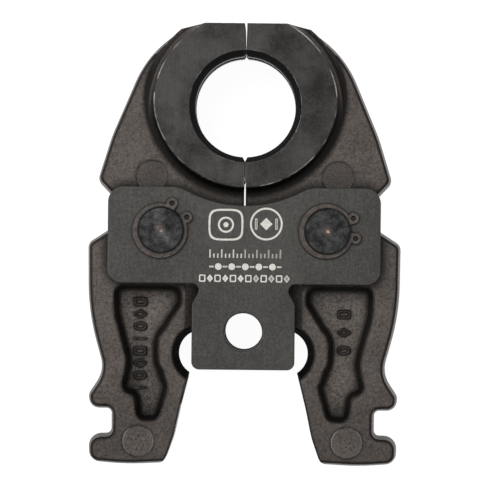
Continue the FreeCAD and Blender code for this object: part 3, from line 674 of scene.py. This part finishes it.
def faceKinds(centres, normals, settings):
    x, y, z = np.abs(centres[:, 0]), centres[:, 1], np.abs(centres[:, 2])
    rise = np.abs(normals[:, 2])
    fromContour = np.hypot(x - contourCentre[0], y - contourCentre[1])
    upright = rise < settings["uprightLean"]
    headEnd = (z > plateFace - settings["headEdge"]) & ~upright
    split = x < settings["splitReach"]
    inward = np.sign(centres[:, 0]) * normals[:, 0] < settings["inwardLean"]
    ramp = inward & upright & (x < settings["rampReach"])
    ramp = ramp & (y < settings["rampTop"]) & (y > settings["rampBottom"])
    fromScallop = np.hypot(x - settings["scallop"][0], y - settings["scallop"][1])
    inScallop = (fromScallop > settings["scallopInner"]) & (fromScallop < settings["scallopOuter"])
    contour = (fromContour < settings["boreRadius"]) & ~split & ~headEnd
    kinds = np.full(len(centres), kindNumbers["forged"], np.int32)
    kinds[headEnd | split | ramp] = kindNumbers["machined"]
    kinds[contour | (inScallop & upright)] = kindNumbers["wall"]
    kinds[contour & (fromContour < settings["landRadius"])] = kindNumbers["machined"]
    onRim = headEnd & (rise < settings["rimLean"]) & (fromContour > settings["rimRadius"])
    kinds[onRim] = kindNumbers["rim"]
    offFace = np.abs(z - webFace)
    for markX, markY in settings["discs"]:
        inMark = np.hypot(x - markX, y - markY) < settings["discReach"]
        inMark = inMark & (offFace > settings["skin"]) & (offFace < settings["discHeight"])
        kinds[inMark] = kindNumbers["disc"]
    below = z < webFace - settings["skin"]
    slopeX, slopeY = settings["innerSlope"]
    kinds[below & ~upright & (x < slopeX) & (y < slopeY)] = kindNumbers["disc"]
    slopeReach, slopeFoot = settings["crownSlope"]
    onCrown = ~headEnd & ~upright & (fromContour > slopeReach) & (y > slopeFoot)
    kinds[onCrown] = kindNumbers["disc"]
    (lowX, lowY), (highX, highY) = settings["pocketLow"], settings["pocketHigh"]
    inPocket = (x > lowX) & (x < highX) & (y > lowY) & (y < highY)
    kinds[below & inPocket & (rise > settings["pocketLean"])] = kindNumbers["pocket"]
    return kinds


# The pocket's inner wall stands nearer the jaw's middle at its waist: x moves in by the shift times
# two smooth steps along y, s(t) = t t (3 - 2 t).
def widenWaist(mesh, settings):
    points = np.zeros(len(mesh.vertices) * 3)
    mesh.vertices.foreach_get("co", points)
    points = points.reshape(-1, 3)
    x, y = points[:, 0], points[:, 1]
    step = 1.0
    for start, end in (settings["waistTop"], settings["waistFoot"]):
        t = np.clip((y - start) / (end - start), 0.0, 1.0)
        step = step * t * t * (3.0 - 2.0 * t)
    low, high = settings["waistReach"]
    fromScallop = np.hypot(np.abs(x) - settings["scallop"][0], y - settings["scallop"][1])
    inWall = (np.abs(x) > low) & (np.abs(x) < high) & (fromScallop > settings["scallopOuter"])
    points[:, 0] = x - np.sign(x) * settings["waistShift"] * step * inWall
    mesh.vertices.foreach_set("co", points.ravel())
    mesh.update()


def dressedLever(node, name, body, settings):
    source = nodes[node]
    piece = bpy.data.objects.new(name, source.data.copy())
    bpy.context.scene.collection.objects.link(piece)
    mesh = piece.data
    mesh.materials.clear()
    finishMesh(mesh, settings["sharpAngle"], mergeCadWithin, outward=False, flatten=settings["flatten"])
    widenWaist(mesh, settings)
    for steel in leverSteels.values():
        mesh.materials.append(steel)
    count = len(mesh.polygons)
    centres, normals = np.zeros(count * 3), np.zeros(count * 3)
    mesh.polygons.foreach_get("center", centres)
    mesh.polygons.foreach_get("normal", normals)
    kinds = faceKinds(centres.reshape(-1, 3), normals.reshape(-1, 3), settings)
    mesh.polygons.foreach_set("material_index", kinds)
    evened = piece.modifiers.new("evened", "WEIGHTED_NORMAL")  # keeps the large faces flat
    evened.keep_sharp = True
    evened.weight = settings["normalWeight"]
    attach(piece, body)
    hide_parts(node)


for side in sides:
    dressedLever(side + "_jaw_lever", side + "Lever", side + "_lever", leverSettings)
print("levers dressed")


# Pins: a profile turned about the pin's axis, with turning rings on both ends.
pinSettings = {
    "grooveInner": 8.5 * mm,
    "grooveLow": 16.6 * mm,
    "grooveHigh": 17.9 * mm,
    "chamfer": 0.7 * mm,
    "centreRadius": 0.9 * mm,
    "centreDepth": 0.5 * mm,
    "ringPitch": {"left": 0.56 * mm, "right": 0.60 * mm},
    "ringHeight": {"left": 0.018 * mm, "right": 0.008 * mm},
    "cone": {"left": 0.05 * mm, "right": 0.16 * mm},
    "steps": 300,
    "around": 120,
}


# Height of the end face falls slowly towards the rim, with a ripple along the radius.
def pinProfile(side, radius, end, settings):
    r = np.linspace(settings["centreRadius"], radius - settings["chamfer"], settings["steps"])
    ripple = np.cos(fullTurn * r / settings["ringPitch"][side])
    height = end + settings["ringHeight"][side] * (ripple - 1.0)
    height -= settings["cone"][side] * (r / radius) ** 2
    dimple = np.array([[0.0, height[0] - settings["centreDepth"]]])
    face = np.stack((r, height), axis=1)
    below = height[-1] - settings["chamfer"]
    rim = np.array([[radius, below], [radius, settings["grooveHigh"]],
                    [settings["grooveInner"], settings["grooveHigh"]],
                    [settings["grooveInner"], settings["grooveLow"]],
                    [radius, settings["grooveLow"]]])
    half = np.concatenate((dimple, face, rim))
    return np.concatenate((half, (half * (1.0, -1.0))[::-1]))


def turnedPin(side, settings):
    low, high = pinBoxes[side]
    centre, radius = (low + high) / 2.0, (high[0] - low[0]) / 2.0
    profile = pinProfile(side, radius, high[2], settings)
    angle = np.linspace(0.0, fullTurn, settings["around"], endpoint=False)
    r, z = profile[:, 0][:, None], profile[:, 1][:, None]
    points = np.stack(np.broadcast_arrays(centre[0] + r * np.cos(angle),
                                          centre[1] + r * np.sin(angle), z), axis=-1)
    quads = gridQuads(len(profile), settings["around"], wrapColumns=True)
    steel = turnedPinSteel(side, pinLook, centre)
    piece = addPiece(side + "Pin", points, quads, steel, "frame")
    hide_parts(side + "_pivot_pin")


for side in sides:
    turnedPin(side, pinSettings)
print("pins turned")


# Closing spring: one coil in two halves, each seated in its own lever. The middle line of the wire is
# (x(a), r cos a, r sin a), and its pitch closes up over the last turn. The two pitches are relative,
# since x is then drawn out to the seat. The left half is the right one turned half round about Y.
springSettings = {
    "openTurns": 3.0,
    "closedTurns": 1.0,
    "openPitch": 4.1,
    "closedPitch": 0.92,
    "easing": 0.5,  # turns over which the pitch changes
    "wire": 0.45 * mm,
    "perTurn": 36,
    "around": 14,
    "sharpAngle": 40.0,
    "keep": 0.71,
}


def springHalf(side, settings):
    low, high = boxOf("closing_spring")
    wire, middle = settings["wire"], (low + high) / 2.0
    coil = (high[2] - low[2]) / 2.0 - wire
    turns = settings["openTurns"] + settings["closedTurns"]
    number = np.linspace(0.0, turns, int(turns * settings["perTurn"]) + 1)
    closing = np.clip((number - settings["openTurns"]) / settings["easing"] + 0.5, 0.0, 1.0)
    pitch = settings["openPitch"] + (settings["closedPitch"] - settings["openPitch"]) * closing
    x = np.concatenate(([0.0], np.cumsum((pitch[1:] + pitch[:-1]) / 2.0)))
    x *= (high[0] - wire) / x[-1]
    angle = fullTurn * number
    outward = np.stack((np.zeros_like(angle), np.cos(angle), np.sin(angle)), axis=1)
    line = outward * coil
    line[:, 0] = x
    along = np.gradient(line, axis=0)
    along /= np.linalg.norm(along, axis=1, keepdims=True)
    aside = np.cross(along, outward)
    reach = np.full(len(line) + 2, wire)
    reach[[0, -1]] = 0.0
    rows = np.clip(np.arange(-1, len(line) + 1), 0, len(line) - 1)
    b = np.linspace(0.0, fullTurn, settings["around"], endpoint=False)[None, :, None]
    points = line[rows][:, None] + reach[:, None, None] * (
        np.cos(b) * outward[rows][:, None] + np.sin(b) * aside[rows][:, None])
    if side == "left":
        points = points * (-1.0, 1.0, -1.0)
    points = points + (0.0, middle[1], middle[2])
    quads = gridQuads(len(rows), settings["around"], wrapColumns=True)
    piece = addPiece(side + "SpringHalf", points, quads, plain["springSteel"], side + "_lever",
                     settings["sharpAngle"])
    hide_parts("closing_spring")
    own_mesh(piece)


for side in sides:
    springHalf(side, springSettings)
print("spring wound")


# Marks. Each is a band between two superellipses, x = a |cos t|^(2/p) and y = b |sin t|^(2/p) with the
# signs of the cosine and sine, about its place. The profile runs across the band from outside to
# inside, as shares of the stroke and heights. Powers: 1 diamond, 2 ring, 6 rounded square.
markAngle = 40.0  # degrees
filled = 1.0      # a stroke wider than any mark, which fills it


def addMarks(name, marks, profile, around, material, body):
    columns = np.array(marks).T[:, :, None, None]
    x, y, a, b, power, stroke = columns
    share, height = np.array(profile).T[:, None, :, None]
    t = np.linspace(0.0, fullTurn, around, endpoint=False) + np.pi / around
    inset = np.minimum(stroke, np.minimum(a, b)) * share
    u = (a - inset) * np.sign(np.cos(t)) * np.abs(np.cos(t)) ** (2.0 / power)
    v = (b - inset) * np.sign(np.sin(t)) * np.abs(np.sin(t)) ** (2.0 / power)
    points = np.stack(np.broadcast_arrays(x + u, y + v, height), axis=-1)
    quads = gridQuads(len(profile), around, wrapRows=True, wrapColumns=True)
    starts = np.arange(len(marks))[:, None, None] * len(profile) * around
    addPiece(name, points, (quads[None] + starts).reshape(-1, 4), material, body, markAngle)


# Laser marks on the front plate: two plain signs and three rows of plain marks. A sign's part is x
# from its middle, half width, half height, power and stroke, and a row's shape is the same without x.
plateMarkSettings = {
    "stand": 0.02 * mm,
    "sink": 0.05 * mm,
    "around": 40,
    "signs": (
        (-7.0 * mm, 41.2 * mm, ((0.0, 6.7 * mm, 6.1 * mm, 4.0, 0.75 * mm),
                                (0.0, 3.1 * mm, 3.1 * mm, 2.0, 0.75 * mm),
                                (0.0, 1.0 * mm, 1.0 * mm, 2.0, filled))),
        (8.5 * mm, 41.6 * mm, ((0.0, 6.3 * mm, 6.3 * mm, 2.0, 0.75 * mm),
                               (0.0, 2.4 * mm, 2.4 * mm, 1.0, filled),
                               (-3.9 * mm, 0.5 * mm, 2.2 * mm, 5.0, filled),
                               (3.9 * mm, 0.5 * mm, 2.2 * mm, 5.0, filled))),
    ),
    "scale": {"start": -13.0 * mm, "step": 1.5 * mm, "count": 19, "foot": 28.5 * mm,
              "tall": 1.6 * mm, "short": 0.8 * mm, "tallEvery": 3, "half": 0.26 * mm, "power": 8.0},
    "rows": (
        {"start": -12.4 * mm, "step": 2.6 * mm, "count": 11, "height": 25.1 * mm,
         "shapes": ((0.9 * mm, 0.32 * mm, 8.0, filled), (1.3 * mm, 1.3 * mm, 2.0, filled))},
        {"start": -15.9 * mm, "step": 2.95 * mm, "count": 12, "height": 20.6 * mm,
         "shapes": ((1.25 * mm, 1.4 * mm, 7.0, 0.5 * mm), (1.2 * mm, 1.5 * mm, 1.0, filled))},
    ),
}


def plateMarks(settings):
    marks = []
    for middleX, middleY, parts in settings["signs"]:
        marks += [(middleX + across, middleY, *shape) for across, *shape in parts]
    scale = settings["scale"]
    for i in range(scale["count"]):
        tall = scale["short"] if i % scale["tallEvery"] else scale["tall"]
        x = scale["start"] + i * scale["step"]
        marks.append((x, scale["foot"] + tall, scale["half"], tall, scale["power"], filled))
    for row in settings["rows"]:
        for i in range(row["count"]):
            shape = row["shapes"][i % len(row["shapes"])]
            marks.append((row["start"] + i * row["step"], row["height"], *shape))
    low, high = plateFace - settings["sink"], plateFace + settings["stand"]
    profile = [(0.0, low), (0.0, high), (1.0, high), (1.0, low)]
    addMarks("plateMarks", marks, profile, settings["around"], plain["laserMark"], "frame")


plateMarks(plateMarkSettings)


# Raised marks that the forging die left on the pocket floors. A shape is half height, half width and
# power.
ribTall, ribWide = 1.85 * mm, 2.75 * mm
pocketMarkSettings = {
    "floor": webFace - 4.4 * mm,
    "width": 1.3 * mm,
    "height": 0.75 * mm,
    "fullness": 0.7,
    "sink": 0.1 * mm,
    "steps": 9,
    "around": 40,
    "left": {"x": -39.9 * mm, "start": 11.2 * mm, "step": 4.75 * mm, "count": 8},
    "right": {"x": 38.9 * mm, "start": 7.0 * mm, "step": 7.0 * mm, "count": 3},
    "shapes": ((ribTall, ribWide, 6.0), (ribTall, ribWide, 1.3),
               (ribTall, ribWide, 2.2), (0.5 * mm, ribWide, 6.0)),
}


# Rounded rib: the height follows the sine of an angle that goes half round across the band.
def pocketMarks(side, settings):
    place, shapes = settings[side], settings["shapes"]
    marks = []
    for i in range(place["count"]):
        tall, wide, power = shapes[i % len(shapes)]
        marks.append((place["x"], place["start"] - i * place["step"], wide, tall, power, settings["width"]))
    angle = np.linspace(0.0, np.pi, settings["steps"])
    share = (1.0 - np.cos(angle)) / 2.0
    height = settings["height"] * np.sin(angle) ** settings["fullness"]
    ribs = [(0.0, -settings["sink"]), *zip(share, height), (1.0, -settings["sink"])]
    profile = [(across, settings["floor"] + rise) for across, rise in ribs]
    addMarks(side + "PocketMarks", marks, profile, settings["around"], forged, side + "_lever")


# Pin pricks on the low pads: each is a small crater, a raised rim round a shallow middle. Places are
# millimetres from the pad's middle.
prickSettings = {
    "pad": (40.2 * mm, -42.5 * mm),
    "top": webFace + 0.45 * mm,
    "radius": 0.30 * mm,
    "height": 0.06 * mm,
    "sink": 0.05 * mm,
    "around": 20,
    "section": ((0.12, 0.7), (0.30, 1.0), (0.55, 0.5), (0.85, 0.1), (1.0, 0.02)),
    "left": ((-1.8, 2.3), (0.1, 2.4), (2.0, 2.2), (-2.6, 0.6), (-0.7, 0.5), (1.2, 0.4), (2.9, 0.3),
             (-1.7, -1.3), (0.3, -1.4), (2.1, -1.5), (-0.6, -3.1), (1.2, -3.2)),
    "right": ((-2.4, 2.2), (2.0, 1.8), (-0.7, 1.1), (1.3, 0.1), (-1.9, -0.4), (-0.1, -1.5),
              (2.9, -1.3), (-2.5, -1.8), (-1.2, -3.5), (1.8, -2.9)),
}


def pinPricks(side, settings):
    padX, padY = settings["pad"]
    padX = -padX if side == "left" else padX
    radius, top = settings["radius"], settings["top"]
    marks = [(padX + x * mm, padY + y * mm, radius, radius, 2.0, radius) for x, y in settings[side]]
    rim = [(across, top + share * settings["height"]) for across, share in settings["section"]]
    profile = [(0.0, top - settings["sink"]), *rim]
    addMarks(side + "PadPricks", marks, profile, settings["around"], forged, side + "_lever")


for side in sides:
    pocketMarks(side, pocketMarkSettings)
    pinPricks(side, prickSettings)
print("marks made")


# CAD nodes that keep their shape and get their finish here.
def finishNode(node, steel):
    nodes[node].data.materials.clear()
    nodes[node].data.materials.append(steel)


for face in ("front", "rear"):
    finishNode(face + "_side_plate", plate)
    for side in sides:
        finishNode("%s_%s_retaining_ring" % (side, face), plain["ringSteel"])
print("plates and rings finished")


# Floor, background and light.
stageSettings = {
    "floor": 3.0,
    "floorColour": (0.24, 0.24, 0.24, 1.0),
    "floorRoughness": 0.9,
    "floorSpecular": 0.1,
    "floorLift": 0.945,
    "white": (1.0, 1.0, 1.0, 1.0),
    "ambient": 0.45,
    "aim": (0.0, 33.0 * mm, 0.0),
    "lamps": (
        # name, place, size, power
        ("key", (-0.40, 0.55, 1.05), 0.8, 6.0),
        ("left", (-0.95, 0.08, 0.60), 0.7, 3.1),
        ("right", (0.95, 0.10, 0.60), 0.7, 0.6),
    ),
}


# Mask that is 1 for rays that end in the picture and 0 for those that only bring light.
def cameraSees(parts, links):
    path = parts.new("ShaderNodeLightPath")
    seen = path.outputs["Is Camera Ray"]
    for ray in ("Is Glossy Ray", "Is Transmission Ray"):
        either = parts.new("ShaderNodeMath")
        either.operation = "MAXIMUM"
        links.new(seen, either.inputs[0])
        links.new(path.outputs[ray], either.inputs[1])
        seen = either.outputs[0]
    return seen


def makeFloor(settings):
    half = settings["floor"] / 2.0
    mesh = bpy.data.meshes.new("floor")
    mesh.from_pydata([(-half, -half, floorLevel), (half, -half, floorLevel),
                      (half, half, floorLevel), (-half, half, floorLevel)], [], [(0, 1, 2, 3)])
    floor = bpy.data.objects.new("floor", mesh)
    bpy.context.scene.collection.objects.link(floor)
    surface = bpy.data.materials.new("paleFloor")
    surface.use_nodes = True
    parts, links = surface.node_tree.nodes, surface.node_tree.links
    shader = parts["Principled BSDF"]
    shader.inputs["Base Color"].default_value = settings["floorColour"]
    shader.inputs["Roughness"].default_value = settings["floorRoughness"]
    shader.inputs["Specular IOR Level"].default_value = settings["floorSpecular"]
    lift = parts.new("ShaderNodeMath")
    lift.operation = "MULTIPLY"
    links.new(cameraSees(parts, links), lift.inputs[0])
    lift.inputs[1].default_value = settings["floorLift"]
    shader.inputs["Emission Color"].default_value = settings["white"]
    links.new(lift.outputs[0], shader.inputs["Emission Strength"])
    mesh.materials.append(surface)


def makeWorld(settings):
    world = bpy.data.worlds.new("studio")
    bpy.context.scene.world = world
    world.use_nodes = True
    parts, links = world.node_tree.nodes, world.node_tree.links
    sky = parts["Background"]
    sky.inputs["Color"].default_value = settings["white"]
    level = parts.new("ShaderNodeMapRange")
    links.new(cameraSees(parts, links), level.inputs["Value"])
    level.inputs["To Min"].default_value = settings["ambient"]
    level.inputs["To Max"].default_value = 1.0
    links.new(level.outputs["Result"], sky.inputs["Strength"])


def makeLamps(settings):
    aim = Vector(settings["aim"])
    for name, place, size, power in settings["lamps"]:
        lamp = bpy.data.lights.new(name, "AREA")
        lamp.shape = "DISK"
        lamp.size = size
        lamp.energy = power
        holder = bpy.data.objects.new(name, lamp)
        holder.location = place
        holder.rotation_euler = (aim - Vector(place)).to_track_quat("-Z", "Y").to_euler()
        bpy.context.scene.collection.objects.link(holder)


makeFloor(stageSettings)
makeWorld(stageSettings)
makeLamps(stageSettings)
bpy.context.scene.view_settings.view_transform = "Standard"
print("stage and light set")
